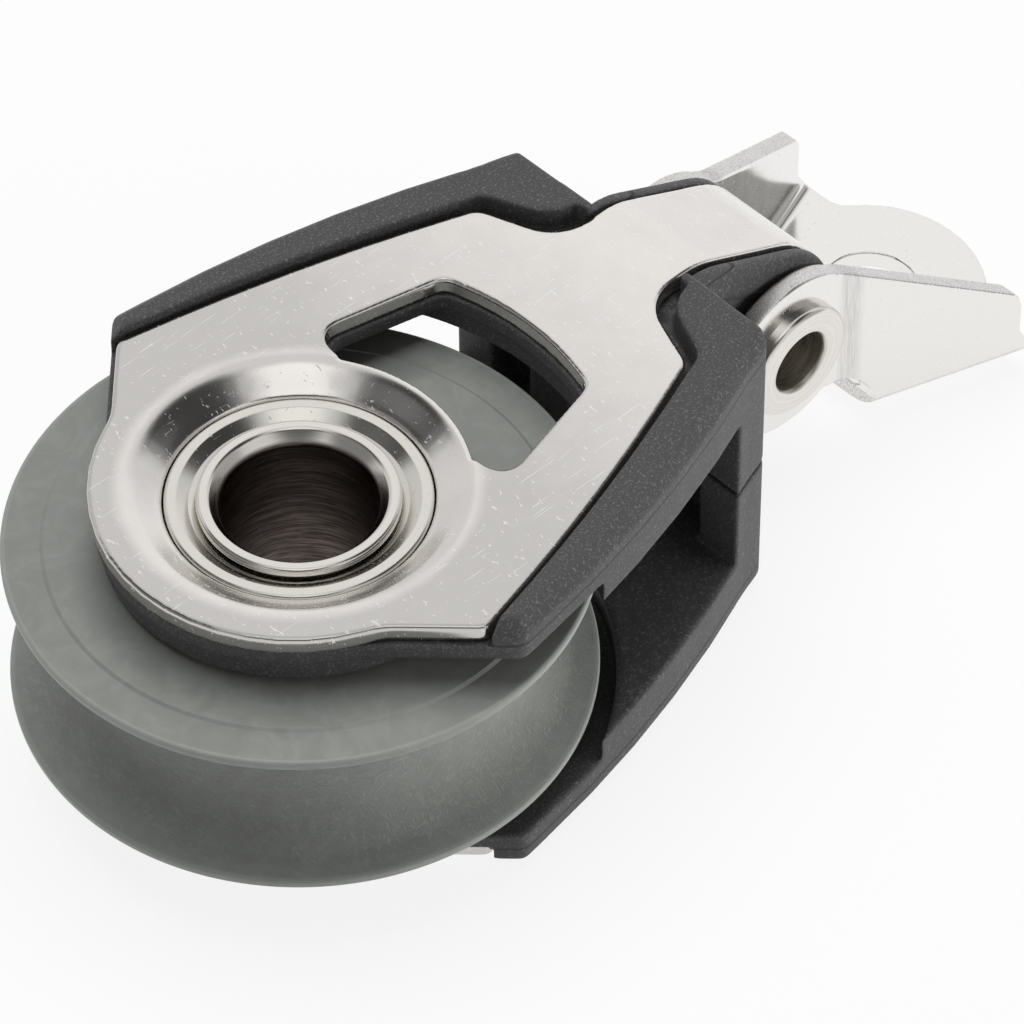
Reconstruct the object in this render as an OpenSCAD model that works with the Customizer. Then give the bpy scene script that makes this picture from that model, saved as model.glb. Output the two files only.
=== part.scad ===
// Dinghy block with a 40 mm sheave, lying on its side: the sheave turns about
// +Z on a hollow axle, one folded steel strap carries the load to the head,
// and a folded bracket swings on a hollow rivet through the head.
// Origin: middle of the axle. +X points to the head, +Z along the axle.

/* [Sheave] */
// Outside diameter of the sheave
sheave_d = 40; // [38:0.5:42]
// Width of the sheave over its flanges
sheave_w = 13; // [12:0.25:14]
// Diameter of the line that the groove is cut for
line_d = 10; // [7:0.5:10.5]
// Radius of the groove's round bottom
groove_r = 5.7; // [5.2:0.1:5.9]
// Depth of the groove
groove_depth = 5.4; // [4.5:0.1:6.5]
// Radius of the turned ring on each flange face
ring_r = 17.1; // [15.5:0.1:18]
// How far the rim outside that ring is cut back
ring_step = 0.15; // [0.05:0.05:0.4]

/* [Axle] */
// Diameter of the bore through the axle
axle_bore_d = 10.6; // [9:0.1:11]
// Wall of the axle tube
axle_wall = 1; // [0.8:0.1:1.3]
// Diameter of the flared lip at each end
axle_lip_d = 13.7; // [13.5:0.1:14.2]
// Length of the axle over its lips
axle_len = 20.7; // [20.4:0.1:21.4]
// Outside diameter of the ring under each lip
collar_d = 18; // [16.5:0.5:19]
// Thickness of that ring
collar_t = 0.95; // [0.8:0.05:1.1]
// Wall of the bush pressed into the sheave
bush_wall = 1.4; // [1:0.1:2]
// Running clearance of the bush on the tube, on the radius
run_gap = 0.05; // [0.03:0.01:0.09]
// Outside diameter of the thrust washers
thrust_d = 21; // [18:0.5:25]
// Thickness of the thrust washers
thrust_t = 0.25; // [0.2:0.05:0.3]

/* [Strap] */
// Thickness of the strap's sheet
strap_t = 1.4; // [1.2:0.1:1.6]
// Thickness of the block over the strap
strap_span = 23.2; // [22.8:0.2:24]
// Radius of the round end about the axle
strap_boss_r = 14; // [13:0.5:15]
// Half width of the strap at its rear corners
strap_rear_y = 18; // [17.5:0.1:18.5]
// Half width of the neck that goes over the head
neck_y = 4.1; // [3.5:0.1:4.3]
// How far the shoulders are from the axle
shoulder_x = 26.1; // [25:0.1:26.5]
// Half width of the strap at its shoulders
shoulder_y = 10.2; // [9:0.1:10.8]
// Radius of the dish about the axle
dish_r = 12.4; // [11.9:0.1:12.8]
// Depth of the dish at the ring's edge
dish_depth = 1.35; // [1:0.05:1.5]
// Inner radius of the window, about the axle
window_in = 11.7; // [11.3:0.1:12.2]
// Outer radius of the window, about the axle
window_out = 21; // [19:0.5:22]
// Half width of the window at its wide end
window_y = 9.3; // [7:0.1:9.5]

/* [Head] */
// Distance from the axle to the head rivet
pin_x = 39.7; // [39.3:0.1:40.5]
// Outside radius of the strap's fold over the head
nose_r = 7.1; // [6.8:0.1:7.5]
// Distance from the axle to the centre of that fold
nose_x = 38.4; // [38:0.1:39]
// Height of the fold's centre above the middle plane
nose_z = 1.2; // [0.8:0.1:1.6]
// Slope of the strap down to the fold
head_slope = 26; // [24:1:28]
// Half width of the moulded head between the ears
head_y = 5.2; // [4.9:0.1:5.3]
// Outside diameter of the sleeve in the head
sleeve_d = 8.4; // [8:0.2:9.4]

/* [Cheeks] */
// Thickness of the block over the cheeks
cheek_span = 24.4; // [24:0.2:24.8]
// Where the cheek's rear edge, run on at 45 degrees, crosses the Y axis
cheek_rear_y = 18.6; // [18.4:0.1:19]
// Distance from the axle to the cheeks' front face
cheek_front_x = 31.8; // [31.4:0.1:32.1]
// Half width of the cheek at its front corners
cheek_front_y = 12.6; // [12:0.1:12.9]
// Height of the cheek's edge above the middle plane
cheek_low_z = 7; // [6.9:0.1:7.4]
// Height of the pocket's roof above the middle plane
pocket_z = 8.9; // [8.2:0.1:9.2]
// Clearance round the sheave in that pocket
sheave_gap = 1.1; // [0.6:0.1:1.5]
// Room between the line and the front wall
line_gap = 2.9; // [1:0.1:3.5]
// Gap between the strap and the edge of its recess
recess_gap = 0.35; // [0.2:0.05:0.5]
// How much is taken off the outer edge of each side, at 45 degrees
edge_break = 0.9; // [0.5:0.1:1.1]

/* [Bracket] */
// Thickness of the bracket's sheet
bracket_t = 1.5; // [1.2:0.1:1.6]
// Radius of the ears about the rivet
ear_r = 6.6; // [6.2:0.1:7]
// Gap between each ear and the moulded head
ear_gap = 0.45; // [0.3:0.05:0.6]
// Distance from the rivet to the bend where the wings turn out
flare_x = 5.1; // [4.9:0.1:5.6]
// Angle at which the wings turn out
flare = 18.9; // [12:0.1:20]
// Slope of the wings' upper edge
wing_slope = 31.9; // [28:0.5:34]
// Distance from the rivet to the wings' front edge
wing_x = 18.7; // [18:0.1:19.2]
// Height from the rivet's axis down to the base plate
base_drop = 9.5; // [9:0.1:10]
// Distance from the rivet to the base plate's rear edge
base_rear_x = 7.9; // [7.5:0.1:9]
// Distance from the rivet to the fixing hole
hole_x = 15.6; // [14.5:0.1:16]
// Diameter of the fixing hole
hole_d = 7; // [5:0.5:8]
// Radius of the base plate's round nose
tongue_r = 8.5; // [8:0.1:9]
// Inside radius of the folds
fold_r = 0.7; // [0.5:0.1:1]

/* [Rivet] */
// Outside diameter of the hollow rivet's shank
rivet_d = 6.2; // [5.6:0.1:6.4]
// Diameter of the hole through the rivet
rivet_bore_d = 4.7; // [4:0.1:4.8]
// Diameter of the rivet's rolled ends
rivet_head_d = 8.8; // [8.2:0.1:9.4]
// How far the rolled ends stand above the washers
rivet_head_t = 0.8; // [0.7:0.05:1]
// Diameter of the washers under the rolled ends
washer_d = 8.6; // [7.6:0.1:8.8]
// Thickness of those washers
washer_t = 0.2; // [0.15:0.05:0.4]

/* [Hidden] */

$fn = 96;
arc_n = 8;              // steps in each drawn arc
far = 60;               // longer than anything here
fit_gap = 0.05;         // between fixed parts that touch

sheave_r = sheave_d / 2;
sheave_h = sheave_w / 2;
groove_x = sheave_r - groove_depth + groove_r;
tube_r = axle_bore_d / 2 + axle_wall;
bush_in = tube_r + run_gap;
bush_out = bush_in + bush_wall;
thrust_gap = 0.1;

strap_z = strap_span / 2;
strap_in_z = strap_z - strap_t;
collar_r = collar_d / 2;
lip_z = axle_len / 2;
collar_z = lip_z - 0.2;
dish_edge_z = strap_z - dish_depth;
floor_z = collar_z - collar_t;
floor_in_z = floor_z - strap_t + 0.1;
dish_in_r = collar_r + fit_gap;
boss_fillet = 5;
rear_corner_r = 0.8;
side_bulge = 0.85;
waist_x = 28.3;
waist_r = 3.5;
knee_r = 6;

cheek_z = cheek_span / 2;
pocket_r = sheave_r + sheave_gap;
cheek_boss_r = strap_boss_r - 0.2;
boss_foot_r = cheek_boss_r - 0.4;
wall_x = sheave_r - groove_depth + line_d + line_gap;
seam_gap = 0.12;
rim_drop = 0.1;          // the head's rims lie this far below the strap
slot_gap = 0.35;         // between the strap's neck and each rim
waist_gap = 1.25;

ear_in_y = head_y + ear_gap;
ear_out_y = ear_in_y + bracket_t;
fold_out = fold_r + bracket_t;
bend_r = 3;              // outside radius of the bend where the wings turn out
bend_run = 1.2;          // from the corner of that bend to where the wing is flat
base_top_z = -base_drop;
base_z = base_top_z - bracket_t;
tongue_fillet = 2.5;
wing_foot = 1.2;
notch_r = 4;
tongue_front_x = wing_x + wing_foot;
rivet_face_y = ear_out_y + washer_t + rivet_head_t;

// Points of an arc about [x, y] from angle a0 to a1
function arc(x, y, r, a0, a1, n = arc_n) =
    [for (i = [0 : n]) let (a = a0 + (a1 - a0) * i / n) [x + r * cos(a), y + r * sin(a), 0]];

// Points of a slightly bowed edge from p to q, rising s to its left
function bowed(p, q, s, n = arc_n) =
    let (d = q - p, u = [-d.y, d.x] / norm(d))
    [for (i = [0 : n]) let (t = i / n, m = p + d * t + u * s * 4 * t * (1 - t)) [m.x, m.y, 0]];

// Arc of radius r that rounds the corner b of the path a, b, c
function corner(a, b, c, r) =
    let (u = (a - b) / norm(a - b), w = (c - b) / norm(c - b), half = acos(u * w) / 2,
        mid = b + (u + w) / norm(u + w) * r / sin(half),
        p = b + u * r / tan(half) - mid, q = b + w * r / tan(half) - mid,
        a0 = atan2(p.y, p.x), turn = (atan2(q.y, q.x) - a0 + 540) % 360 - 180)
    [for (i = [0 : arc_n]) let (a = a0 + turn * i / arc_n) mid + r * [cos(a), sin(a)]];

// Closed outline from points [x, y, corner radius]
function rounded(pts) =
    let (m = len(pts), xy = [for (p = pts) [p.x, p.y]])
    [for (i = [0 : m - 1]) each pts[i][2] > 0
        ? corner(xy[(i + m - 1) % m], xy[i], xy[(i + 1) % m], pts[i][2]) : [xy[i]]];

// Half outline above the X axis, completed by its mirror image
function both_sides(half) =
    concat(half, [for (i = [len(half) - 1 : -1 : 0]) [half[i].x, -half[i].y, half[i][2]]]);

// Rear end of a plate: round boss of radius r, fillet, and the 45 degree edge
// that would cross the Y axis at y
function rear_end(r, y) =
    let (a = 45 + asin((y + boss_fillet * sqrt(2)) / (sqrt(2) * (r + boss_fillet))),
        c = (r + boss_fillet) * [cos(a), sin(a)])
    concat(arc(0, 0, r, 180, a), arc(c.x, c.y, boss_fillet, a + 180, 315));

// Plan of the strap, grown by g at its sides and by w at its waist, and open
// to the rear by out
function strap_half(g = 0, w = 0, out = 0) = concat(
    rear_end(strap_boss_r + g, strap_rear_y + 2 * out),
    out > 0 ? [[-out, strap_rear_y + out, 0], [g + 0.15, strap_rear_y - 0.1 + g, 0]]
        : [[0, strap_rear_y, rear_corner_r]],
    bowed([2, strap_rear_y - 0.45 + g], [shoulder_x - 2 + w / 2, shoulder_y + 0.75 + g], side_bulge / 2),
    [[shoulder_x + w * 0.6, shoulder_y + g, 1.5], [waist_x + w * 0.6, neck_y + w, waist_r],
        [far, neck_y + w, 0]]);

// Plan of a cheek, from its corners and the bowed edge between them. The rear
// corner lies as far out as the sheave's rim.
cheek_corner = [sheave_r - cheek_rear_y, sheave_r];
cheek_front = [cheek_front_x - 0.2, cheek_front_y];
cheek_edge = bowed(cheek_corner + [2, -0.25], [cheek_front_x - 3, cheek_front_y + 0.85], side_bulge, 5);
function cheek_half() = concat(
    rear_end(cheek_boss_r, cheek_rear_y), [[cheek_corner.x, cheek_corner.y, 1.2]],
    cheek_edge, [[cheek_front.x, cheek_front.y, 1.2], [cheek_front_x, 0, 0]]);

// Cut that takes the outer edge of a cheek off at 45 degrees, from p to q
module edge_cut(p, q) {
    d = q - p;
    c = edge_break + 0.5;
    over = 1;
    translate([p.x, p.y, cheek_z - edge_break]) rotate([0, 0, atan2(d.y, d.x)]) rotate([90, 0, 90])
        translate([0, 0, -over]) linear_extrude(norm(d) + 2 * over) polygon([[0.5, -0.5], [0.5, c], [-c, c]]);
}
module edge_cuts() {
    pts = concat([cheek_corner - [2, 2], cheek_corner], [for (p = cheek_edge) [p.x, p.y]], [cheek_front]);
    for (i = [0 : len(pts) - 2]) edge_cut(pts[i], pts[i + 1]);
}

// Side view of the head, inside the strap's outer face by d
function head_top(d) =
    let (r = nose_r - d, z = strap_z - d,
        knee = nose_x + (r - (z - nose_z) * cos(head_slope)) / sin(head_slope))
    concat([[-far, z, 0], [knee, z, knee_r - d]], arc(nose_x, nose_z, r, 90 - head_slope, 0));
module head_side(d, y) {
    rotate([90, 0, 0]) translate([0, 0, -y]) linear_extrude(2 * y)
        polygon(rounded(both_sides(head_top(d))));
}

// Window between two arcs about the axle, smaller all round by g
module window_plan(g = 0) {
    rear_x = window_in - 1.5;
    front_x = window_out - 1.1;
    pts = both_sides(concat(
        [[rear_x - 0.6 + g, 5, 0], [rear_x + g, window_y - g, 1.5],
            [front_x - g, window_y - 0.243 * (front_x - rear_x) - g, 1.3]],
        arc(0, 0, window_out - g, 12, 0, 3)));
    difference() {
        polygon(rounded(pts));
        circle(window_in + g);
    }
}

// Turned shape about the axle, given by [radius, height] points
module turned(pts) { rotate_extrude() polygon(pts); }

// The same turned shape about the rivet's axis
module turned_on_rivet(pts) { translate([pin_x, 0, 0]) rotate([90, 0, 0]) turned(pts); }

// A ring about the axle between two heights
module ring(r_in, r_out, z0, z1) { turned([[r_in, z0], [r_out, z0], [r_out, z1], [r_in, z1]]); }

module strap_dish() {
    bend = arc(dish_r, strap_z - 3.2, 3.2, 90, 118, 4);
    turned(concat([for (p = bend) [p.x, p.y]],
        [[dish_in_r + 0.35, dish_edge_z + 0.02], [dish_in_r, dish_edge_z - 0.1], [dish_in_r, floor_z],
            [tube_r + fit_gap, floor_z], [tube_r + fit_gap, floor_in_z],
            [collar_r + 0.5, floor_in_z], [dish_r + 0.2, strap_in_z], [dish_r + 0.2, strap_z]]));
}

module strap() {
    color("gainsboro") difference() {
        union() {
            difference() {
                intersection() {
                    linear_extrude(far, center = true) polygon(rounded(both_sides(strap_half())));
                    difference() {
                        head_side(0, far);
                        head_side(strap_t, far + 1);
                    }
                }
                cylinder(r = dish_r, h = far, center = true);
            }
            strap_dish();
            mirror([0, 0, 1]) strap_dish();
        }
        linear_extrude(far, center = true) window_plan();
    }
}

// Room in a cheek for the strap and its dish
module strap_room() {
    intersection() {
        translate([0, 0, strap_in_z]) linear_extrude(far)
            polygon(rounded(both_sides(strap_half(recess_gap, waist_gap, 0.6))));
        translate([-far, -far, 0]) cube([far + cheek_front_x - 0.8, 2 * far, far]);
    }
    difference() {
        head_side(-1, neck_y + slot_gap);
        head_side(strap_t, head_y + 1);
    }
    turned([[0, floor_in_z - fit_gap], [collar_r + 0.5, floor_in_z - fit_gap],
        [dish_r + 0.25, strap_in_z - fit_gap], [dish_r + 0.25, far], [0, far]]);
}

// Moulded head between the ears
module head_block() {
    difference() {
        head_side(rim_drop, head_y);
        for (s = [-1, 1]) translate([0, s * (head_y + far / 2 - 0.2), 0]) rotate([90, 0, 0])
            linear_extrude(far, center = true) polygon(rounded(both_sides(head_top(2.9))));
    }
}

module cheek() {
    difference() {
        union() {
            translate([0, 0, cheek_low_z]) linear_extrude(cheek_z - cheek_low_z)
                polygon(rounded(both_sides(cheek_half())));
            translate([0, 0, seam_gap]) linear_extrude(cheek_low_z) intersection() {
                polygon(rounded(both_sides(cheek_half())));
                translate([wall_x, -far]) square([far, 2 * far]);
            }
            intersection() {
                head_block();
                translate([wall_x, -far, seam_gap]) cube([far, 2 * far, far]);
            }
        }
        ring(boss_foot_r, pocket_r, -1, pocket_z);
        strap_room();
        cylinder(r = tube_r + fit_gap, h = far);
        linear_extrude(far) window_plan(0.2);
        translate([pin_x, 0, 0]) rotate([90, 0, 0]) cylinder(d = sleeve_d, h = far, center = true);
        for (s = [0, 1]) mirror([0, s, 0]) edge_cuts();
        for (s = [-1, 1]) translate([wall_x - 1, s * (head_y + 3.2) - 1.8, -1])
            cube([cheek_front_x - wall_x - 0.9, 3.6, cheek_low_z + 1]);
    }
}
module upper_cheek() { color([0.2, 0.2, 0.21]) cheek(); }
module lower_cheek() { color([0.2, 0.2, 0.21]) mirror([0, 0, 1]) cheek(); }

module sheave() {
    color([0.56, 0.58, 0.56]) difference() {
        turned([[bush_out, -sheave_h], [ring_r, -sheave_h], [ring_r + 0.2, ring_step - sheave_h],
            [sheave_r, ring_step - sheave_h], [sheave_r, sheave_h - ring_step],
            [ring_r + 0.2, sheave_h - ring_step], [ring_r, sheave_h], [bush_out, sheave_h]]);
        rotate_extrude() translate([groove_x, 0]) circle(groove_r);
    }
}
module sheave_bush() {
    color([0.62, 0.5, 0.3]) ring(bush_in, bush_out, -sheave_h, sheave_h);
}

module axle_tube() {
    bore_r = axle_bore_d / 2;
    lip_r = axle_lip_d / 2;
    crown_r = lip_r - 0.65;
    end = [[bore_r, lip_z - 0.83], [crown_r, lip_z], [lip_r - 0.2, lip_z], [lip_r, lip_z - 0.2],
        [lip_r, lip_z - 0.45], [tube_r, lip_z - 0.8]];
    color([0.8, 0.78, 0.75])
        turned(concat(end, [for (i = [len(end) - 1 : -1 : 0]) [end[i].x, -end[i].y]]));
}

module axle_ring() {
    lip_r = axle_lip_d / 2;
    turned([[tube_r + fit_gap, floor_z], [collar_r, floor_z], [collar_r, collar_z - 0.08],
        [collar_r - 0.12, collar_z], [lip_r + 0.55, collar_z], [tube_r + fit_gap, lip_z - 1.05]]);
}
module upper_axle_ring() { color("silver") axle_ring(); }
module lower_axle_ring() { color("silver") mirror([0, 0, 1]) axle_ring(); }

module thrust_washer() {
    ring(tube_r + fit_gap, thrust_d / 2, sheave_h + thrust_gap, sheave_h + thrust_gap + thrust_t);
}
module upper_thrust_washer() { color([0.85, 0.85, 0.8]) thrust_washer(); }
module lower_thrust_washer() { color([0.85, 0.85, 0.8]) mirror([0, 0, 1]) thrust_washer(); }

module head_sleeve() {
    half = ear_in_y - fit_gap;
    color("silver") turned_on_rivet([[rivet_d / 2 + run_gap, -half], [sleeve_d / 2, -half],
        [sleeve_d / 2, half], [rivet_d / 2 + run_gap, half]]);
}

module head_rivet() {
    bore_r = rivet_bore_d / 2;
    head_r = rivet_head_d / 2;
    roll_r = rivet_head_t / 2;
    shank_y = rivet_face_y - rivet_head_t;
    roll = arc(head_r - roll_r, rivet_face_y - roll_r, roll_r, -90, 90, 8);
    mouth = arc(head_r - roll_r, rivet_face_y - 1.55, 1.55, 90, 180, 6);
    end = concat([for (p = mouth) if (p.x > bore_r + 0.02) [p.x, p.y]], [[bore_r, rivet_face_y - 1.6]]);
    top = concat([[rivet_d / 2, shank_y]], [for (p = roll) [p.x, p.y]], end);
    color([0.8, 0.78, 0.74]) turned_on_rivet(
        concat(top, [for (i = [len(top) - 1 : -1 : 0]) [top[i].x, -top[i].y]]));
}

module rivet_washer(s) {
    y0 = min(s * ear_out_y, s * (ear_out_y + washer_t));
    turned_on_rivet([[rivet_d / 2, y0], [washer_d / 2, y0],
        [washer_d / 2, y0 + washer_t], [rivet_d / 2, y0 + washer_t]]);
}
module near_rivet_washer() { color("silver") rivet_washer(1); }
module far_rivet_washer() { color("silver") rivet_washer(-1); }

// Side view of an ear and its wing, from the rivet's axis
module wing_side() {
    lean = [sin(wing_slope), cos(wing_slope)];
    reach = ear_r - 0.06;
    top_z = (reach - wing_x * lean.x) / lean.y;
    notch_z = -ear_r - notch_r + 0.7;
    pts = concat([[0, 0, 0], [reach * lean.x, reach * lean.y, 0], [wing_x, top_z, 1.5],
        [wing_x, base_top_z + 2, 1.5], [tongue_front_x, base_top_z, 0], [tongue_front_x, base_z - 1, 0],
        [base_rear_x, base_z - 1, 0]],
        arc(base_rear_x - notch_r, notch_z, notch_r, 0, 90), [[3.3, -ear_r + 1, 0]]);
    rotate([90, 0, 0]) {
        cylinder(r = ear_r, h = far, center = true);
        linear_extrude(far, center = true) polygon(rounded(pts));
    }
}

// Plan of an ear and of the bend where its wing begins
module ear_plan() {
    outer = [flare_x + bend_run * cos(flare), ear_out_y + bend_run * sin(flare)];
    inner_x = flare_x + bracket_t * tan(flare / 2);
    polygon(rounded([[-far, ear_out_y, 0], [flare_x, ear_out_y, bend_r], [outer.x, outer.y, 0],
        [outer.x + bracket_t * sin(flare), outer.y - bracket_t * cos(flare), 0],
        [inner_x, ear_in_y, bend_r + bracket_t], [-far, ear_in_y, 0]]));
}

// Wing beyond that bend, with the fold along its foot
module wing_sheet() {
    web = fold_out + 0.6;
    top = ear_r - base_z;
    translate([flare_x, ear_out_y, base_z]) rotate([0, 0, flare]) translate([bend_run, 0, 0])
        rotate([90, 0, 90]) linear_extrude(far) polygon(rounded([[0, top, 0], [-bracket_t, top, 0],
            [-bracket_t, bracket_t, fold_r], [-web, bracket_t, 0], [-web, 0, 0], [0, 0, fold_out]]));
}

// Plan of the base plate with its round nose
module base_plan() {
    inset = fold_out / cos(flare);
    function wing_y(x) = ear_out_y + (x - flare_x) * tan(flare) - inset;
    f = tongue_fillet;
    front = tongue_front_x - hole_x;
    fy = sqrt(pow(tongue_r + f, 2) - pow(front + f, 2));
    turn = atan2(fy, front + f);
    polygon(rounded(both_sides(concat(
        [[base_rear_x, wing_y(base_rear_x), 0], [tongue_front_x, wing_y(tongue_front_x), 0]],
        arc(tongue_front_x + f, fy, f, 180, 180 + turn), arc(hole_x, 0, tongue_r, turn, 0)))));
}

module bracket() {
    color("gainsboro") translate([pin_x, 0, 0]) difference() {
        union() {
            intersection() {
                wing_side();
                for (s = [0, 1]) mirror([0, s, 0]) {
                    linear_extrude(2 * ear_r, center = true) ear_plan();
                    wing_sheet();
                }
            }
            translate([0, 0, base_z]) linear_extrude(bracket_t) base_plan();
        }
        rotate([90, 0, 0]) cylinder(d = rivet_d, h = far, center = true);
        translate([hole_x, 0, base_z - 1]) cylinder(d = hole_d, h = bracket_t + 2);
    }
}

strap();
upper_cheek();
lower_cheek();
sheave();
sheave_bush();
axle_tube();
upper_axle_ring();
lower_axle_ring();
upper_thrust_washer();
lower_thrust_washer();
head_sleeve();
head_rivet();
near_rivet_washer();
far_rivet_washer();
bracket();
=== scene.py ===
# %% [markdown]
# # A dinghy block, dressed for its photograph
# The block is a grey sheave on a hollow axle, held by a folded stainless strap
# between two black moulded cheeks, with a folded bracket on a hollow rivet at
# its head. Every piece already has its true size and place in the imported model,
# which is loaded first and never moved. What this lesson adds is what a solid
# model leaves out: edges rolled by the press, turned profiles with real radii,
# and a surface for each metal and plastic.

import math

import bmesh
import bpy
import numpy as np
from mathutils import Matrix, Vector


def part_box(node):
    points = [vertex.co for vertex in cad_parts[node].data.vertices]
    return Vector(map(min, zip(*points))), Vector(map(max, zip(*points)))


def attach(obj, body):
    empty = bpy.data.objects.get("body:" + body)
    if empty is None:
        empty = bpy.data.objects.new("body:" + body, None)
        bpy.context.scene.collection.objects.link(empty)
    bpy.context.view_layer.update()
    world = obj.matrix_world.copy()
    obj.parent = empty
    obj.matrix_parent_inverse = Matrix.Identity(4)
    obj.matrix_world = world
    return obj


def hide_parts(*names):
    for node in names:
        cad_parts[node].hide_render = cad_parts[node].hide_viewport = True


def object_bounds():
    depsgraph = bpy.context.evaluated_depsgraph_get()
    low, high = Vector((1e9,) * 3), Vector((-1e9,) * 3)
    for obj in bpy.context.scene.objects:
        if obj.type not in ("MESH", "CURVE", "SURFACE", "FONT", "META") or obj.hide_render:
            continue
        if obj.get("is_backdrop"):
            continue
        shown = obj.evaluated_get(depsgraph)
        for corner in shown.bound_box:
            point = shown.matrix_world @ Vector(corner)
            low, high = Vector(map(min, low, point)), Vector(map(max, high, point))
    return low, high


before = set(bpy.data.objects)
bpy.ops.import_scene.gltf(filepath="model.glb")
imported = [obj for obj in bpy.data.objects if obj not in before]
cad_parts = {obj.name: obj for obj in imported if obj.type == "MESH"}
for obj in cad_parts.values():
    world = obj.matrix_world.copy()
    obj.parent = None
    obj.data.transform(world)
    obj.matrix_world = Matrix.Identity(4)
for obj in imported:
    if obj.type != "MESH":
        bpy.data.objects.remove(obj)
cad_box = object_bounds()
MM = 0.001


# %% [markdown]
# The camera comes next, because everything later is judged through it. A product
# photographer shoots a small block from far away with a long lens, so that its
# far end doesn't shrink. The lens here is about 236 mm on a full-frame sensor,
# 0.45 m from the block and 47 degrees above it.

# %% Camera at the photograph's viewing angle
LENS = 236.3
CAMERA_AZIMUTH = -43.79
CAMERA_ELEVATION = 47.51
CAMERA_ROLL = -0.307
CAMERA_DISTANCE = 0.451607
CAMERA_SHIFT_RIGHT = 0.014046
CAMERA_SHIFT_UP = 0.005813


def camera_axes(azimuth, elevation, roll):
    """Right, up and back of a camera that looks at the origin."""
    a, e, r = (math.radians(v) for v in (azimuth, elevation, roll))
    back = Vector((math.sin(a) * math.cos(e), -math.cos(a) * math.cos(e), math.sin(e)))
    right = Vector((math.cos(a), math.sin(a), 0))
    up = back.cross(right)
    turned_right = right * math.cos(r) + up * math.sin(r)
    turned_up = up * math.cos(r) - right * math.sin(r)
    return turned_right, turned_up, back


def make_camera():
    right, up, back = camera_axes(CAMERA_AZIMUTH, CAMERA_ELEVATION, CAMERA_ROLL)
    data = bpy.data.cameras.new("camera")
    data.lens = LENS
    data.clip_start = 0.02
    data.clip_end = 20
    camera = bpy.data.objects.new("camera", data)
    bpy.context.scene.collection.objects.link(camera)
    turn = Matrix((right, up, back)).transposed().to_4x4()
    place = right * CAMERA_SHIFT_RIGHT + up * CAMERA_SHIFT_UP + back * CAMERA_DISTANCE
    camera.matrix_world = Matrix.Translation(place) @ turn
    bpy.context.scene.camera = camera
    return camera


camera = make_camera()
print("camera at", [round(v, 4) for v in camera.location])


# %% [markdown]
# Every finish below is arithmetic on a few noises, so the shader maths is worth
# writing as arithmetic. A small class wraps a socket and overloads the operators,
# and each operator adds the Math node that a person would have drawn by hand.

# %% Shader maths as Python expressions
class Value:
    """A number that changes over the surface."""

    def __init__(self, shader, socket):
        self.shader = shader
        self.socket = socket

    def _math(self, operation, *others, clamp=False):
        node = self.shader.node("ShaderNodeMath", {"operation": operation, "use_clamp": clamp},
                                {0: self, **dict(enumerate(others, 1))})
        return Value(self.shader, node.outputs[0])

    def __add__(self, other):
        return self._math("ADD", other)

    def __mul__(self, other):
        return self._math("MULTIPLY", other)

    def __sub__(self, other):
        return self._math("SUBTRACT", other)

    def __truediv__(self, other):
        return self._math("DIVIDE", other)

    def __pow__(self, other):
        return self._math("POWER", other)

    def __neg__(self):
        return self * -1

    def __rsub__(self, other):
        return -self + other

    __radd__ = __add__
    __rmul__ = __mul__

    def clamp(self):
        return self._math("ADD", 0, clamp=True)

    def abs(self):
        return self._math("ABSOLUTE")

    def step(self, low, high):
        """0 below low, 1 above high, and smooth between them."""
        node = self.shader.node("ShaderNodeMapRange", {"interpolation_type": "SMOOTHSTEP"},
                                {0: self, 1: low, 2: high, 3: 0.0, 4: 1.0})
        return Value(self.shader, node.outputs[0])


class Shader:
    """A node tree whose nodes are added by name."""

    def __init__(self, owner):
        owner.use_nodes = True
        self.tree = owner.node_tree
        self.tree.nodes.clear()

    def node(self, kind, settings=None, inputs=None):
        node = self.tree.nodes.new(kind)
        for key, value in (settings or {}).items():
            setattr(node, key, value)
        for key, value in (inputs or {}).items():
            value = value.socket if isinstance(value, Value) else value
            if isinstance(value, bpy.types.NodeSocket):
                self.tree.links.new(value, node.inputs[key])
            else:
                node.inputs[key].default_value = value
        return node

    def output(self, kind, shader):
        self.tree.links.new(shader, self.node(kind).inputs["Surface"])


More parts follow.
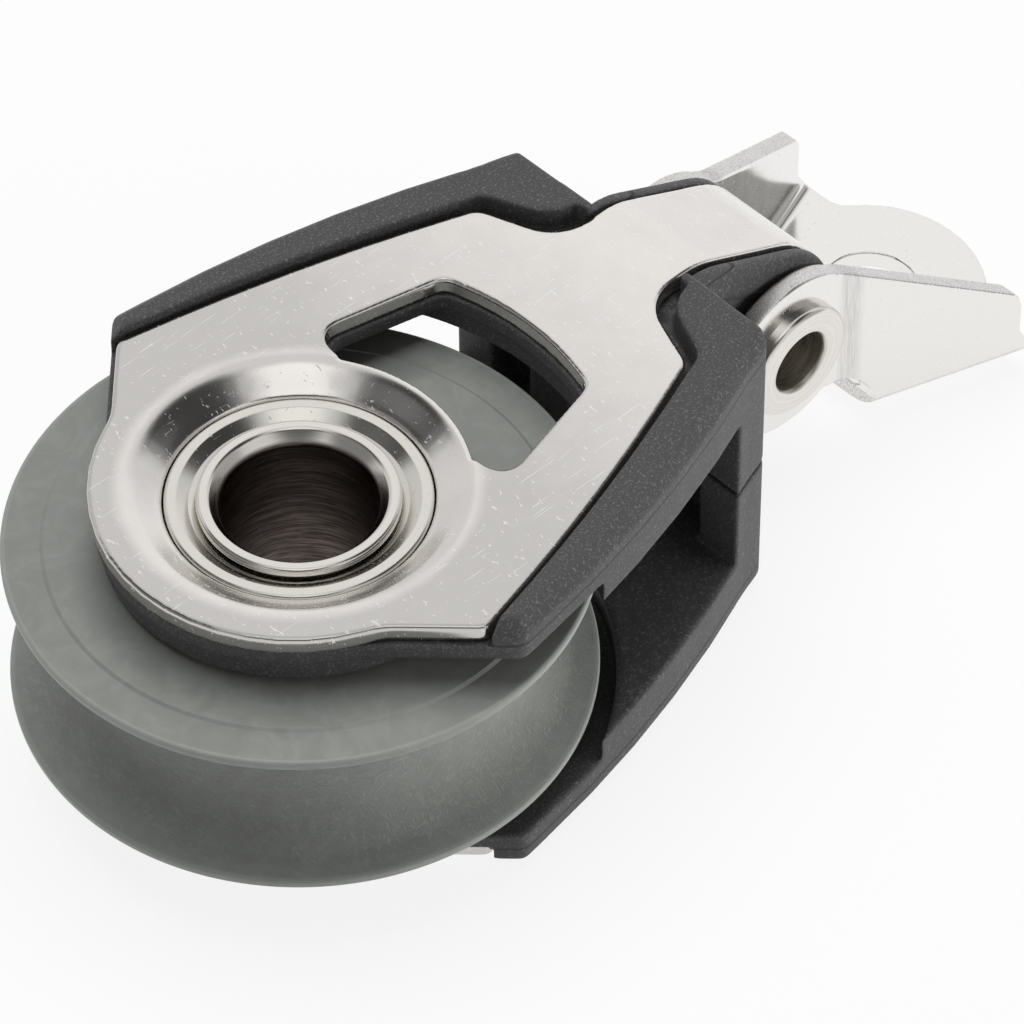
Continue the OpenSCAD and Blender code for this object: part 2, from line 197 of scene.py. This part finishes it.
class Finish(Shader):
    """A material whose places are given in millimetres."""

    def __init__(self, name):
        self.material = bpy.data.materials.new(name)
        super().__init__(self.material)
        self.surface = self.node("ShaderNodeBsdfPrincipled")
        self.output("ShaderNodeOutputMaterial", self.surface.outputs[0])
        place = self.node("ShaderNodeTexCoord").outputs["Object"]
        self.place = self.node("ShaderNodeMapping", {}, {"Vector": place, "Scale": (1 / MM,) * 3}).outputs[0]

    def stretched(self, scale, turn=(0, 0, 0)):
        """The piece's own millimetres, scaled along each axis and turned."""
        return self.node("ShaderNodeMapping", {}, {
            "Vector": self.place, "Scale": scale, "Rotation": turn}).outputs[0]

    def noise(self, scale, detail=3.0, roughness=0.55, place=None, distortion=0.0):
        """Noise from 0 to 1, with features 1 / scale millimetres across."""
        node = self.node("ShaderNodeTexNoise", {}, {"Vector": place or self.place, "Scale": scale,
                         "Detail": detail, "Roughness": roughness, "Distortion": distortion})
        return Value(self, node.outputs[0])

    def marked(self, name):
        """A number that the mesh carries on its faces."""
        return Value(self, self.node("ShaderNodeAttribute", {"attribute_name": name}).outputs["Fac"])

    def axis(self, name):
        node = self.node("ShaderNodeSeparateXYZ", {}, {0: self.place})
        return Value(self, node.outputs[name])

    def mix(self, factor, low, high):
        """A colour between two, by a factor from 0 to 1."""
        node = self.node("ShaderNodeMix", {"data_type": "RGBA"}, {0: factor})
        for index, colour in ((6, low), (7, high)):
            if isinstance(colour, bpy.types.NodeSocket):
                self.tree.links.new(colour, node.inputs[index])
            else:
                node.inputs[index].default_value = (*colour, 1)
        return node.outputs[2]

    def bump(self, height, depth, normal=None):
        """Height from 0 to 1 over depth millimetres."""
        inputs = {"Height": height, "Strength": 1.0, "Distance": depth * MM}
        if normal is not None:
            inputs["Normal"] = normal
        return self.node("ShaderNodeBump", {}, inputs).outputs[0]

    def set(self, **values):
        """Sets the surface shader: base_color=..., roughness=..., and so on."""
        for key, value in values.items():
            label = key.replace("_", " ").title().replace("Ior", "IOR")
            socket = self.surface.inputs[label]
            value = value.socket if isinstance(value, Value) else value
            if isinstance(value, bpy.types.NodeSocket):
                self.tree.links.new(value, socket)
            elif isinstance(value, tuple) and len(value) == 3:
                socket.default_value = (*value, 1)
            else:
                socket.default_value = value
        return self.material


print("shader helpers ready")


# %% [markdown]
# The strap and the bracket are pressed from stainless sheet and tumbled with
# small stones until they shine. That leaves a bright surface that is flat only
# on average: long shallow waves break up what it mirrors, and fine pits and
# specks give it grain. One function makes the family, and the numbers say how
# far each piece was polished. The strap's end away from the head is painted
# darker in its colour, as painted shade for the dimmer reflection it shows.

# %% Stainless finishes
DISH_SHOULDER_R = (11.4, 12.8)
PAINTED_END_SHADE_X = (4, 34)
BORE_R = 5.3
RIVET_BORE_R = 2.35
rivet_low, rivet_high = (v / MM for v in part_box("head_rivet"))
PIN_X = (rivet_low.x + rivet_high.x) / 2
BEND_X = PIN_X + 5.6
BEND_BRUSHED = (0.35, 1.2)


def tumbled_steel(name, tint, rough, wave=0.012, grain=0.0008, speck=0.3, painted_end_shade=1.0, bend_x=None):
    """Sheet steel: tumbled faces, and sheared edges where the mesh is marked "cut".

    painted_end_shade paints the end away from the head darker, as painted shade for
    its dimmer reflection, and bend_x is where a bend was brushed.
    """
    f = Finish(name)
    wide = f.noise(0.3, 2.0, 0.5)
    fine = f.noise(9.0, 3.0, 0.6)
    nicks = f.noise(2.0, 2.0, 0.7, place=f.stretched((1.7, 0.6, 1), (0, 0, 0.8))).step(0.655, 0.69)
    scratches = f.noise(1.0, 1.0, 0.5, place=f.stretched((0.3, 7, 4), (0, 0, 0.35))).step(0.715, 0.745)
    cloud = f.noise(0.35, 2.0, 0.5).step(0.3, 0.8)
    marks = (nicks + scratches * 0.6).clamp()
    cut = f.marked("cut")
    tears = f.noise(7.0, 3.0, 0.7, place=f.stretched((1.3, 1.3, 0.5)))
    pale = tuple(min(1, c * 1.35) for c in tint)
    x, y = f.axis("X"), f.axis("Y")
    dish = 1 - ((x * x + y * y) ** 0.5).step(*DISH_SHOULDER_R)
    # Painted shade: the end away from the head is painted darker in the colour, for the dimmer reflection it
    # shows; the dish is mostly spared.
    end = (1 - x.step(*PAINTED_END_SHADE_X)) * (1 - dish * 0.85)
    face = f.mix((end + cloud * 0.15).clamp(), tint, tuple(c * painted_end_shade for c in tint))
    face = f.mix((marks * speck).clamp(), face, pale)
    rough_here = fine * 0.08 + marks * 0.3 + cut * 0.2 + (rough - 0.04)
    if bend_x is not None:
        brushed = 1 - (x - bend_x).abs().step(*BEND_BRUSHED)
        lines = f.noise(1.0, 2.0, 0.6, place=f.stretched((9, 2, 0.4))).step(0.3, 0.7)
        face = f.mix((brushed * (lines * 0.3 + 0.12)).clamp(), face, tuple(c * 0.45 for c in tint))
        rough_here = rough_here + brushed * 0.15
    torn = f.mix(tears.step(0.35, 0.65), tuple(c * 0.62 for c in tint), tint)
    normal = f.bump(wide, wave)
    normal = f.bump(fine - marks * 0.5, grain, normal)
    normal = f.bump(tears * cut, 0.014, normal)
    return f.set(base_color=f.mix(cut, face, torn), metallic=1.0, roughness=rough_here.clamp(), normal=normal)


def turned_steel(name, tint, rough, bore_r, bore_tints, centre_x=0.0, along="Z", pitch=0.09, depth=0.002):
    """Steel with a lathe's rings about an axis, and a bore that was never polished."""
    f = Finish(name)
    x, length = f.axis("X") - centre_x, f.axis(along)
    side = f.axis("Y" if along == "Z" else "Z")
    radius = (x * x + side * side) ** 0.5
    rings = f.noise(1.0, 3.0, 0.7, place=f.node("ShaderNodeCombineXYZ", {}, {
        "X": radius / pitch, "Y": length / pitch}).outputs[0])
    cloud = f.noise(1.0, 3.0, 0.6)
    dark = tuple(c * 0.72 for c in tint)
    colour = f.mix((rings.step(0.3, 0.8) * 0.35 + cloud * 0.2).clamp(), tint, dark)
    bore = 1 - radius.step(bore_r + 0.05, bore_r + 0.3)
    lines = f.noise(1.0, 3.0, 0.7, place=f.node("ShaderNodeCombineXYZ", {}, {
        "X": length * 6, "Y": x * 0.35, "Z": side * 0.35}).outputs[0])
    brown = f.mix(lines.step(0.35, 0.72), *bore_tints)
    return f.set(base_color=f.mix(bore, colour, brown), metallic=1.0,
                 roughness=(rings * 0.12 + bore * 0.2 + (rough - 0.06)).clamp(),
                 normal=f.bump(rings + lines * bore, depth))


BROWN_BORE = (0.055, 0.042, 0.037), (0.2, 0.165, 0.145)
GREY_BORE = (0.45, 0.42, 0.38), (0.8, 0.76, 0.7)
strap_steel = tumbled_steel("strap_steel", (0.82, 0.795, 0.765), 0.17, speck=0.8, painted_end_shade=0.69)
bracket_steel = tumbled_steel("bracket_steel", (0.84, 0.83, 0.81), 0.15, speck=0.15, bend_x=BEND_X)
rivet_steel = turned_steel("rivet_steel", (0.82, 0.79, 0.75), 0.2, RIVET_BORE_R, GREY_BORE, PIN_X, "Y",
                           depth=0.004)
ring_steel = tumbled_steel("ring_steel", (0.7, 0.68, 0.64), 0.18, wave=0.004)
axle_steel = turned_steel("axle_steel", (0.78, 0.75, 0.71), 0.18, BORE_R, BROWN_BORE)
print("steel finishes:", [m.name for m in (strap_steel, bracket_steel, rivet_steel, ring_steel, axle_steel)])


# %% [markdown]
# The cheeks are glass-filled nylon. The mould was spark-eroded, which gives the
# plastic a fine even grain, and light catches the tops of it, so black nylon
# photographs as a speckled dark grey. That speckle is a painted highlight in the
# colour, and the parting line's groove is painted shade.

# %% Nylon, acetal and the hidden bearing's materials
PARTING_Z = 10.3
PARTING_WAVER = 0.12
SHEAVE_RIM_R = 20.0
GROOVE_MOUTH_Z = (5.2, 5.9)


def moulded_nylon(name, tint):
    f = Finish(name)
    grain = f.noise(5.5, 2.0, 0.6)
    coarse = f.noise(1.6, 2.0, 0.5)
    dust = f.noise(2.6, 2.0, 0.7).step(0.74, 0.8)
    light = tuple(c * 3.0 for c in tint)
    dark = tuple(c * 0.3 for c in tint)
    height = f.axis("Z").abs() + coarse * PARTING_WAVER
    # Painted shade: the parting line's thin groove is painted dark in the colour.
    painted_groove_shade = 1 - (height - (PARTING_Z + PARTING_WAVER / 2)).abs().step(0.06, 0.14)
    # Painted highlight: the grain's tops are painted in the lighter colour, for the light they catch.
    colour = f.mix(grain.step(0.5, 0.76) * 0.85, tint, light)
    colour = f.mix(dust * 0.35, colour, (0.34, 0.34, 0.34))
    colour = f.mix(painted_groove_shade * 0.85, colour, dark)
    return f.set(base_color=colour, roughness=(grain * 0.2 + 0.45).clamp(), specular_ior_level=0.3,
                 normal=f.bump(grain + coarse * 0.4, 0.02))


def turned_acetal(name, tint):
    f = Finish(name)
    x, y, z = f.axis("X"), f.axis("Y"), f.axis("Z")
    radius = (x * x + y * y) ** 0.5
    swirl = f.noise(0.35, 4.0, 0.6, distortion=1.5)
    rings = f.noise(1.0, 2.0, 0.6, place=f.node("ShaderNodeCombineXYZ", {}, {
        "X": radius * 3.0, "Y": z * 3.0}).outputs[0])
    across, along = f.stretched((1, 1, 2.2), (0.3, 0.2, 0.5)), f.stretched((5, 0.7, 2.5), (0.5, 0.3, 0.6))
    scrape = f.noise(1.1, 3.0, 0.7, place=across, distortion=2.5).step(0.5, 0.62)
    strokes = f.noise(1.0, 2.0, 0.6, place=along, distortion=0.6).step(0.56, 0.66)
    light = tuple(c * 1.3 for c in tint)
    groove = 1 - z.abs().step(*GROOVE_MOUTH_Z)
    # Painted highlight: the rim's rounded edge is painted lighter, for the light it catches; the groove's
    # scrapes and strokes, and its general lightening, are the line's wear.
    rim = radius.step(SHEAVE_RIM_R - 0.45, SHEAVE_RIM_R - 0.2)
    wear_and_painted_rim_highlight = (scrape * 0.3 + strokes * 0.2 + 0.22) * groove + rim * 0.4
    colour = f.mix((swirl.step(0.35, 0.75) * 0.6 + rings * 0.2).clamp(), tint, light)
    colour = f.mix(wear_and_painted_rim_highlight.clamp(), colour, tuple(c * 1.75 for c in tint))
    return f.set(base_color=colour, roughness=(swirl * 0.15 + scrape * groove * 0.15 + 0.3).clamp(),
                 normal=f.bump(rings * 0.5 + swirl + (scrape + strokes) * groove, 0.012))


def plain(name, tint, rough, metallic=0.0):
    f = Finish(name)
    cloud = f.noise(2.0, 3.0, 0.6)
    dark = tuple(c * 0.85 for c in tint)
    return f.set(base_color=f.mix(cloud, dark, tint), metallic=metallic,
                 roughness=(cloud * 0.1 + rough).clamp())


cheek_nylon = moulded_nylon("cheek_nylon", (0.06, 0.06, 0.061))
sheave_acetal = turned_acetal("sheave_acetal", (0.2, 0.207, 0.194))
bush_bronze = plain("bush_bronze", (0.55, 0.36, 0.16), 0.3, 1.0)
thrust_plastic = plain("thrust_plastic", (0.7, 0.69, 0.64), 0.4)
sleeve_steel = plain("sleeve_steel", (0.6, 0.6, 0.6), 0.3, 1.0)
print("plastic finishes ready")


# %% [markdown]
# Everything round on the block was turned or rolled, so its whole shape is one
# section spun about an axis. A Geometry Nodes tree does the spinning: it takes
# the section as a closed loop of edges, sweeps it round a circle and gives it
# its finish. The section itself is a short list of corners, each with the radius
# that the tool left on it.

# %% A tree that turns a section into a piece
TURN_STEPS = 192
PATH_R = 1.0


def turning_tree():
    tree = bpy.data.node_groups.new("turned_piece", "GeometryNodeTree")
    sockets = {"Section": "NodeSocketGeometry", "Steps": "NodeSocketInt", "Finish": "NodeSocketMaterial"}
    for name, kind in sockets.items():
        tree.interface.new_socket(name, in_out="INPUT", socket_type=kind)
    tree.interface.new_socket("Piece", in_out="OUTPUT", socket_type="NodeSocketGeometry")
    given = tree.nodes.new("NodeGroupInput")
    section = tree.nodes.new("GeometryNodeMeshToCurve")
    path = tree.nodes.new("GeometryNodeCurvePrimitiveCircle")
    path.inputs["Radius"].default_value = PATH_R
    sweep = tree.nodes.new("GeometryNodeCurveToMesh")
    real = tree.nodes.new("GeometryNodeRealizeInstances")
    paint = tree.nodes.new("GeometryNodeSetMaterial")
    out = tree.nodes.new("NodeGroupOutput")
    link = tree.links.new
    link(given.outputs["Section"], section.inputs["Mesh"])
    link(given.outputs["Steps"], path.inputs["Resolution"])
    link(path.outputs["Curve"], sweep.inputs["Curve"])
    link(section.outputs["Curve"], sweep.inputs["Profile Curve"])
    link(sweep.outputs["Mesh"], real.inputs["Geometry"])
    link(real.outputs["Geometry"], paint.inputs["Geometry"])
    link(given.outputs["Finish"], paint.inputs["Material"])
    link(paint.outputs["Geometry"], out.inputs["Piece"])
    return tree


def socket_id(tree, name):
    return next(i.identifier for i in tree.interface.items_tree if i.name == name)


turning = turning_tree()
print("turning tree:", len(turning.nodes), "nodes")


# %% Sections with rounded corners
def rounded(corners, steps=6):
    """A closed section in millimetres from (radius, height, corner radius) points."""
    points = []
    count = len(corners)
    for i, (x, z, r) in enumerate(corners):
        here = Vector((x, z))
        if r == 0:
            points.append(here)
            continue
        before = (Vector(corners[i - 1][:2]) - here).normalized()
        after = (Vector(corners[(i + 1) % count][:2]) - here).normalized()
        half = before.angle(after) / 2
        centre = here + (before + after).normalized() * (r / math.sin(half))
        start = here + before * (r / math.tan(half)) - centre
        turn = start.angle_signed(here + after * (r / math.tan(half)) - centre)
        for k in range(steps + 1):
            a = -turn * k / steps
            points.append(centre + Vector((start.x * math.cos(a) - start.y * math.sin(a),
                                           start.x * math.sin(a) + start.y * math.cos(a))))
    return points


def add_object(name, mesh):
    piece = bpy.data.objects.new(name, mesh)
    bpy.context.scene.collection.objects.link(piece)
    return piece


def shade(mesh, sharp=35):
    """Smooth shading, with edges past the given angle kept sharp."""
    bm = bmesh.new()
    bm.from_mesh(mesh)
    bmesh.ops.remove_doubles(bm, verts=bm.verts, dist=1e-7)
    bmesh.ops.recalc_face_normals(bm, faces=bm.faces)
    for face in bm.faces:
        face.smooth = True
    for edge in bm.edges:
        edge.smooth = len(edge.link_faces) == 2 and edge.calc_face_angle() < math.radians(sharp)
    bm.to_mesh(mesh)
    bm.free()


def plain_mesh(piece, name):
    """The piece with its modifiers turned into a plain mesh."""
    bpy.context.view_layer.update()
    evaluated = piece.evaluated_get(bpy.context.evaluated_depsgraph_get())
    mesh = bpy.data.meshes.new_from_object(evaluated)
    piece.modifiers.clear()
    piece.data = mesh
    mesh.name = name
    return mesh


def turned(name, section, material, steps=TURN_STEPS, sharp=35):
    """A piece spun about +Z from a closed section in millimetres."""
    mesh = bpy.data.meshes.new(name)
    points = [((p.x * MM - PATH_R), p.y * MM, 0) for p in section]
    mesh.from_pydata(points, [(i, (i + 1) % len(points)) for i in range(len(points))], [])
    piece = add_object(name, mesh)
    modifier = piece.modifiers.new("turning", "NODES")
    modifier.node_group = turning
    modifier[socket_id(turning, "Steps")] = steps
    modifier[socket_id(turning, "Finish")] = material
    made = plain_mesh(piece, name)
    shade(made, sharp)
    print(name, "faces:", len(made.polygons), "size mm:", [round(v / MM, 2) for v in piece.dimensions])
    return piece


# %% [markdown]
# The sheave is turned from grey acetal. Its groove is an arc a little wider than
# the line, and the flanges end in a thin rim that the lathe has just broken the
# edges of. Each face has a shallow step near the rim.

# %% Sheave
sheave_low, sheave_high = (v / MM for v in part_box("sheave"))
SHEAVE_R = sheave_high.x
SHEAVE_H = sheave_high.z
GROOVE_R = 5.7
GROOVE_X = 20.3
GROOVE_EDGE_Z = 5.45
RIM_FOOT_Z = 5.7
GROOVE_WALL = (17.5, -5.2, 0)
RING_R = 17.1
RING_STEP = 0.15
BUSH_R = (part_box("sheave_bush")[1] / MM).x
GROOVE_STEPS = 40


def sheave_section():
    half = math.asin(math.sqrt(GROOVE_R ** 2 - (GROOVE_X - SHEAVE_R) ** 2) / GROOVE_R)
    groove = []
    for k in range(1, GROOVE_STEPS):
        a = half * (2 * k / GROOVE_STEPS - 1)
        groove.append(Vector((GROOVE_X - GROOVE_R * math.cos(a), GROOVE_R * math.sin(a))))
    rim_z = SHEAVE_H - RING_STEP
    low = rounded([(BUSH_R, -SHEAVE_H, 0.1), (RING_R, -SHEAVE_H, 0.1), (RING_R + 0.25, -rim_z, 0.1),
                   (SHEAVE_R, -rim_z, 0.28), (SHEAVE_R, -RIM_FOOT_Z, 0.2), GROOVE_WALL])
    low.pop()
    high = [Vector((p.x, -p.y)) for p in reversed(low)]
    return low + [p for p in groove if abs(p.y) < GROOVE_EDGE_Z] + high


sheave_piece = turned("sheave_wheel", sheave_section(), sheave_acetal, 256)
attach(sheave_piece, "sheave")
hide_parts("sheave")


# %% [markdown]
# The axle is a tube whose ends are rolled out over a ring on each side. The lip
# is the brightest thing on the block, because its rounded top mirrors the whole
# studio in one thin circle.

# %% Axle tube and its rings
TUBE_R = 6.3
LIP_R = (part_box("axle_tube")[1] / MM).x
LIP_Z = (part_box("axle_tube")[1] / MM).z
COLLAR_R = (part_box("upper_axle_ring")[1] / MM).x
COLLAR_TOP = 10.15
COLLAR_FOOT = (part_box("upper_axle_ring")[0] / MM).z
CROWN_R = 8.15


def axle_section():
    end = [(BORE_R, LIP_Z - 0.95, 0.5), (LIP_R - 0.8, LIP_Z, 0.45), (LIP_R, LIP_Z, 0.32),
           (LIP_R, LIP_Z - 0.6, 0.15), (TUBE_R, LIP_Z - 0.85, 0.1)]
    return rounded(end + [(x, -z, r) for x, z, r in reversed(end)])


def ring_section(side):
    """A rounded crown at the rim, and a channel between it and the lip."""
    corners = [(TUBE_R + 0.05, COLLAR_FOOT, 0), (COLLAR_R, COLLAR_FOOT, 0.1), (COLLAR_R, COLLAR_TOP, 0.3),
               (CROWN_R, COLLAR_TOP, 0.3), (LIP_R + 0.5, COLLAR_TOP - 0.5, 0.3),
               (TUBE_R + 0.05, COLLAR_FOOT + 0.2, 0)]
    return [Vector((p.x, p.y * side)) for p in rounded(corners)]


axle_piece = turned("hollow_axle", axle_section(), axle_steel)
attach(axle_piece, "block")
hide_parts("axle_tube")
for side, place in ((1, "upper"), (-1, "lower")):
    piece = turned(f"{place}_axle_collar", ring_section(side), ring_steel)
    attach(piece, "block")
    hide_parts(f"{place}_axle_ring")


# %% [markdown]
# The head rivet is a short tube rolled over at both ends onto thin washers. It is
# turned about Z like the rest and then laid along Y through the head.

# %% Head rivet and its washers
RIVET_R = rivet_high.z
RIVET_Y = rivet_high.y
SHANK_R = 3.1
WASHER_R = (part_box("near_rivet_washer")[1] / MM).z
WASHER_Y = [(v / MM).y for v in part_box("near_rivet_washer")]


def laid_along_y(piece):
    """Lays a piece that was turned about Z along Y, through the head."""
    piece.data.transform(Matrix.Translation((PIN_X * MM, 0, 0)) @ Matrix.Rotation(math.pi / 2, 4, "X"))
    return piece


def rivet_section():
    foot = WASHER_Y[1]
    end = [(RIVET_BORE_R, RIVET_Y, 0.5), (RIVET_R, RIVET_Y, 0.5), (RIVET_R, foot, 0.15), (SHANK_R, foot, 0)]
    return rounded(end + [(x, -z, r) for x, z, r in reversed(end)])


rivet_piece = laid_along_y(turned("hollow_rivet", rivet_section(), rivet_steel))
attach(rivet_piece, "bracket")
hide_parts("head_rivet")
for side, place in ((1, "near"), (-1, "far")):
    low, high = WASHER_Y
    ring = rounded([(SHANK_R, low, 0), (WASHER_R, low, 0.06), (WASHER_R, high, 0.1), (SHANK_R, high, 0)], 3)
    piece = laid_along_y(turned(f"{place}_washer", [Vector((p.x, -p.y * side)) for p in ring], ring_steel))
    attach(piece, "bracket")
    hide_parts(f"{place}_rivet_washer")


# %% [markdown]
# The strap, the cheeks and the bracket keep the outline of their solids and only
# need their edges worn: the press rolls a sheet's edge over, and a mould can't
# hold a sharp one. A copy of each solid is rebuilt in tiny even faces, which
# leaves its planes flat, and a few passes of smoothing then round only the edges,
# because nothing moves a point whose neighbours all lie in its own plane. Most
# of the faces on the flats are then given back.

# %% Copies of the solids with worn edges
def edge_worn(node, name, face_size, passes, kept, material, cut=None):
    """The node's solid with rounded edges, kept inside the solid's own box."""
    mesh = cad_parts[node].data.copy()
    bm = bmesh.new()
    bm.from_mesh(mesh)
    bmesh.ops.remove_doubles(bm, verts=bm.verts, dist=1e-6)
    bm.to_mesh(mesh)
    bm.free()
    mesh.materials.clear()
    mesh.materials.append(material)
    piece = add_object(name, mesh)
    even = piece.modifiers.new("even_faces", "REMESH")
    even.mode = "VOXEL"
    even.voxel_size = face_size * MM
    even.use_smooth_shade = True
    wear = piece.modifiers.new("worn_edges", "SMOOTH")
    wear.factor = 0.5
    wear.iterations = passes
    fewer = piece.modifiers.new("fewer_faces", "DECIMATE")
    fewer.ratio = kept
    hardened = piece.modifiers.new("flat_faces_lead", "WEIGHTED_NORMAL")
    hardened.keep_sharp = False
    made = plain_mesh(piece, name)
    count = len(made.vertices)
    places, normals = np.empty(count * 3), np.empty(count * 3)
    made.vertices.foreach_get("co", places)
    made.vertices.foreach_get("normal", normals)
    places = np.clip(places.reshape(-1, 3), *(np.array(corner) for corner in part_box(node)))
    made.vertices.foreach_set("co", places.ravel())
    marks = made.attributes.new("cut", "FLOAT", "POINT")
    share = cut(normals.reshape(-1, 3), places / MM) if cut else np.zeros(count)
    marks.data.foreach_set("value", share.astype(np.float32))
    made.update()
    print(name, "faces:", len(made.polygons), "size mm:", [round(v / MM, 2) for v in piece.dimensions])
    return piece


FOLD_TOP_Z = -7.0
BASE_TOP_Z = -9.5
HOLE_X = 55.3
HOLE_LAND_R = 4.1
FACE_TILT = 0.6
TILT_BLEND = 0.3


def bracket_cut(normal, place):
    """How far each point lies on a sheared edge: round the ears and wings, and round the base."""
    across, upright = np.abs(normal[:, 1]), np.abs(normal[:, 2])
    height = place[:, 2]
    side = np.clip((FACE_TILT - across) / TILT_BLEND, 0, 1) * (height > FOLD_TOP_Z)
    from_hole = np.hypot(place[:, 0] - HOLE_X, place[:, 1])
    rim = np.clip((FACE_TILT - upright) / TILT_BLEND, 0, 1) * (height < BASE_TOP_Z) * (from_hole > HOLE_LAND_R)
    return np.maximum(side, rim)


# Node, piece, face size in mm, smoothing passes, share of faces kept, finish, mark, body and slot
for node, name, face_size, passes, kept, material, cut, body, slot in (
        ("strap", "folded_strap", 0.12, 30, 0.24, strap_steel, None, "block", "strap_steel"),
        ("upper_cheek", "upper_moulding", 0.12, 22, 0.24, cheek_nylon, None, "block", "cheek_nylon"),
        ("lower_cheek", "lower_moulding", 0.12, 22, 0.24, cheek_nylon, None, "block", "cheek_nylon"),
        ("bracket", "folded_bracket", 0.1, 16, 0.4, bracket_steel, bracket_cut, "bracket", "bracket_steel")):
    piece = edge_worn(node, name, face_size, passes, kept, material, cut)
    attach(piece, body)
    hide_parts(node)

for node, material in (("sheave_bush", bush_bronze), ("upper_thrust_washer", thrust_plastic),
                       ("lower_thrust_washer", thrust_plastic), ("head_sleeve", sleeve_steel)):
    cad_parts[node].data.materials.clear()
    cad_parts[node].data.materials.append(material)


# %% [markdown]
# A catalogue photograph is lit by large white panels and cut out on white. The
# floor glows white to the camera and still takes a faint shadow. Polished steel
# shows only what is round it, so the world has a few wide panels in it that only
# mirrors see.

# %% Floor, panels and lamps
FLOOR_Z = cad_box[0].z - 0.0001
FLOOR_GLOW = 0.86


def make_floor():
    mesh = bpy.data.meshes.new("floor")
    size = 3.0
    corners = [(-size, -size, FLOOR_Z), (size, -size, FLOOR_Z), (size, size, FLOOR_Z), (-size, size, FLOOR_Z)]
    mesh.from_pydata(corners, [], [(0, 1, 2, 3)])
    floor = add_object("floor", mesh)
    f = Finish("floor_white")
    f.set(base_color=(0.85, 0.85, 0.85), roughness=0.9)
    glow = f.node("ShaderNodeEmission", {}, {"Color": (1, 1, 1, 1), "Strength": 1.0})
    path = f.node("ShaderNodeLightPath").outputs
    seen = (Value(f, path["Is Camera Ray"]) + Value(f, path["Is Glossy Ray"])).clamp() * FLOOR_GLOW
    blend = f.node("ShaderNodeMixShader", {}, {0: seen, 1: f.surface.outputs[0], 2: glow.outputs[0]})
    out = next(n for n in f.tree.nodes if n.type == "OUTPUT_MATERIAL")
    f.tree.links.new(blend.outputs[0], out.inputs["Surface"])
    mesh.materials.append(f.material)
    floor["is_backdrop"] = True
    return floor


def make_lamp(name, place, size, power, target=(0.015, 0, 0)):
    """A panel that lights plastics but isn't mirrored by the steel."""
    data = bpy.data.lights.new(name, "AREA")
    data.shape = "RECTANGLE"
    data.size, data.size_y = size
    data.energy = power
    lamp = bpy.data.objects.new(name, data)
    bpy.context.scene.collection.objects.link(lamp)
    lamp.location = place
    lamp.rotation_euler = (Vector(target) - Vector(place)).to_track_quat("-Z", "Y").to_euler()
    lamp.visible_glossy = False
    return lamp


# What the steel mirrors: direction, the cosines where the patch begins and is full, and its light
PATCHES = (
    ((0.46, 0.49, 0.74), 0.90, 0.985, 1.0),
    ((0.77, 0.49, 0.40), 0.86, 0.96, 0.97),
    ((-0.47, -0.49, 0.74), 0.84, 0.97, 0.12),
    ((0.50, -0.42, 0.75), 0.87, 0.95, 0.05),
    ((-0.46, 0.47, 0.75), 0.89, 0.96, 0.05),
    ((-0.22, -0.23, 0.95), 0.95, 0.985, 1.15),
    ((-0.80, 0.35, 0.45), 0.80, 0.95, 0.25),
    ((0.75, -0.60, 0.25), 0.86, 0.97, 0.45),
)
MIRRORED_SKY = 0.78
SKY = 0.17


def make_world():
    world = bpy.data.worlds.new("studio")
    bpy.context.scene.world = world
    w = Shader(world)
    towards = w.node("ShaderNodeTexCoord").outputs["Generated"]
    mirrored = MIRRORED_SKY
    for direction, begins, full, light in PATCHES:
        facing = w.node("ShaderNodeVectorMath", {"operation": "DOT_PRODUCT"},
                        {0: towards, 1: Vector(direction).normalized()}).outputs["Value"]
        share = Value(w, facing).step(begins, full)
        mirrored = share * light + (1 - share) * mirrored
    path = w.node("ShaderNodeLightPath").outputs
    glossy, camera_ray = Value(w, path["Is Glossy Ray"]), Value(w, path["Is Camera Ray"])
    light = glossy * mirrored + (1 - glossy) * SKY
    strength = camera_ray + (1 - camera_ray) * light
    background = w.node("ShaderNodeBackground", {}, {"Color": (1, 1, 1, 1), "Strength": strength})
    w.output("ShaderNodeOutputWorld", background.outputs[0])


make_floor()
make_world()
make_lamp("top_panel", place=(0.05, 0.12, 0.5), size=(0.5, 0.4), power=2.5)
make_lamp("right_panel", place=(0.38, -0.36, 0.06), size=(0.4, 0.12), power=2.2)
make_lamp("left_panel", place=(-0.45, -0.05, 0.3), size=(0.35, 0.35), power=0.25)
bpy.context.scene.view_settings.view_transform = "Standard"
print("studio ready, floor at", round(FLOOR_Z / MM, 2), "mm")


# %% [markdown]
# The last cell prints both boxes, so that the dressed model can be held against
# the solids.

# %% Sizes and finish
shown_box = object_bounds()
for name, (low, high) in (("cad", cad_box), ("visual", shown_box)):
    print(name, "box mm:", [round(v / MM, 2) for v in (*low, *high)])
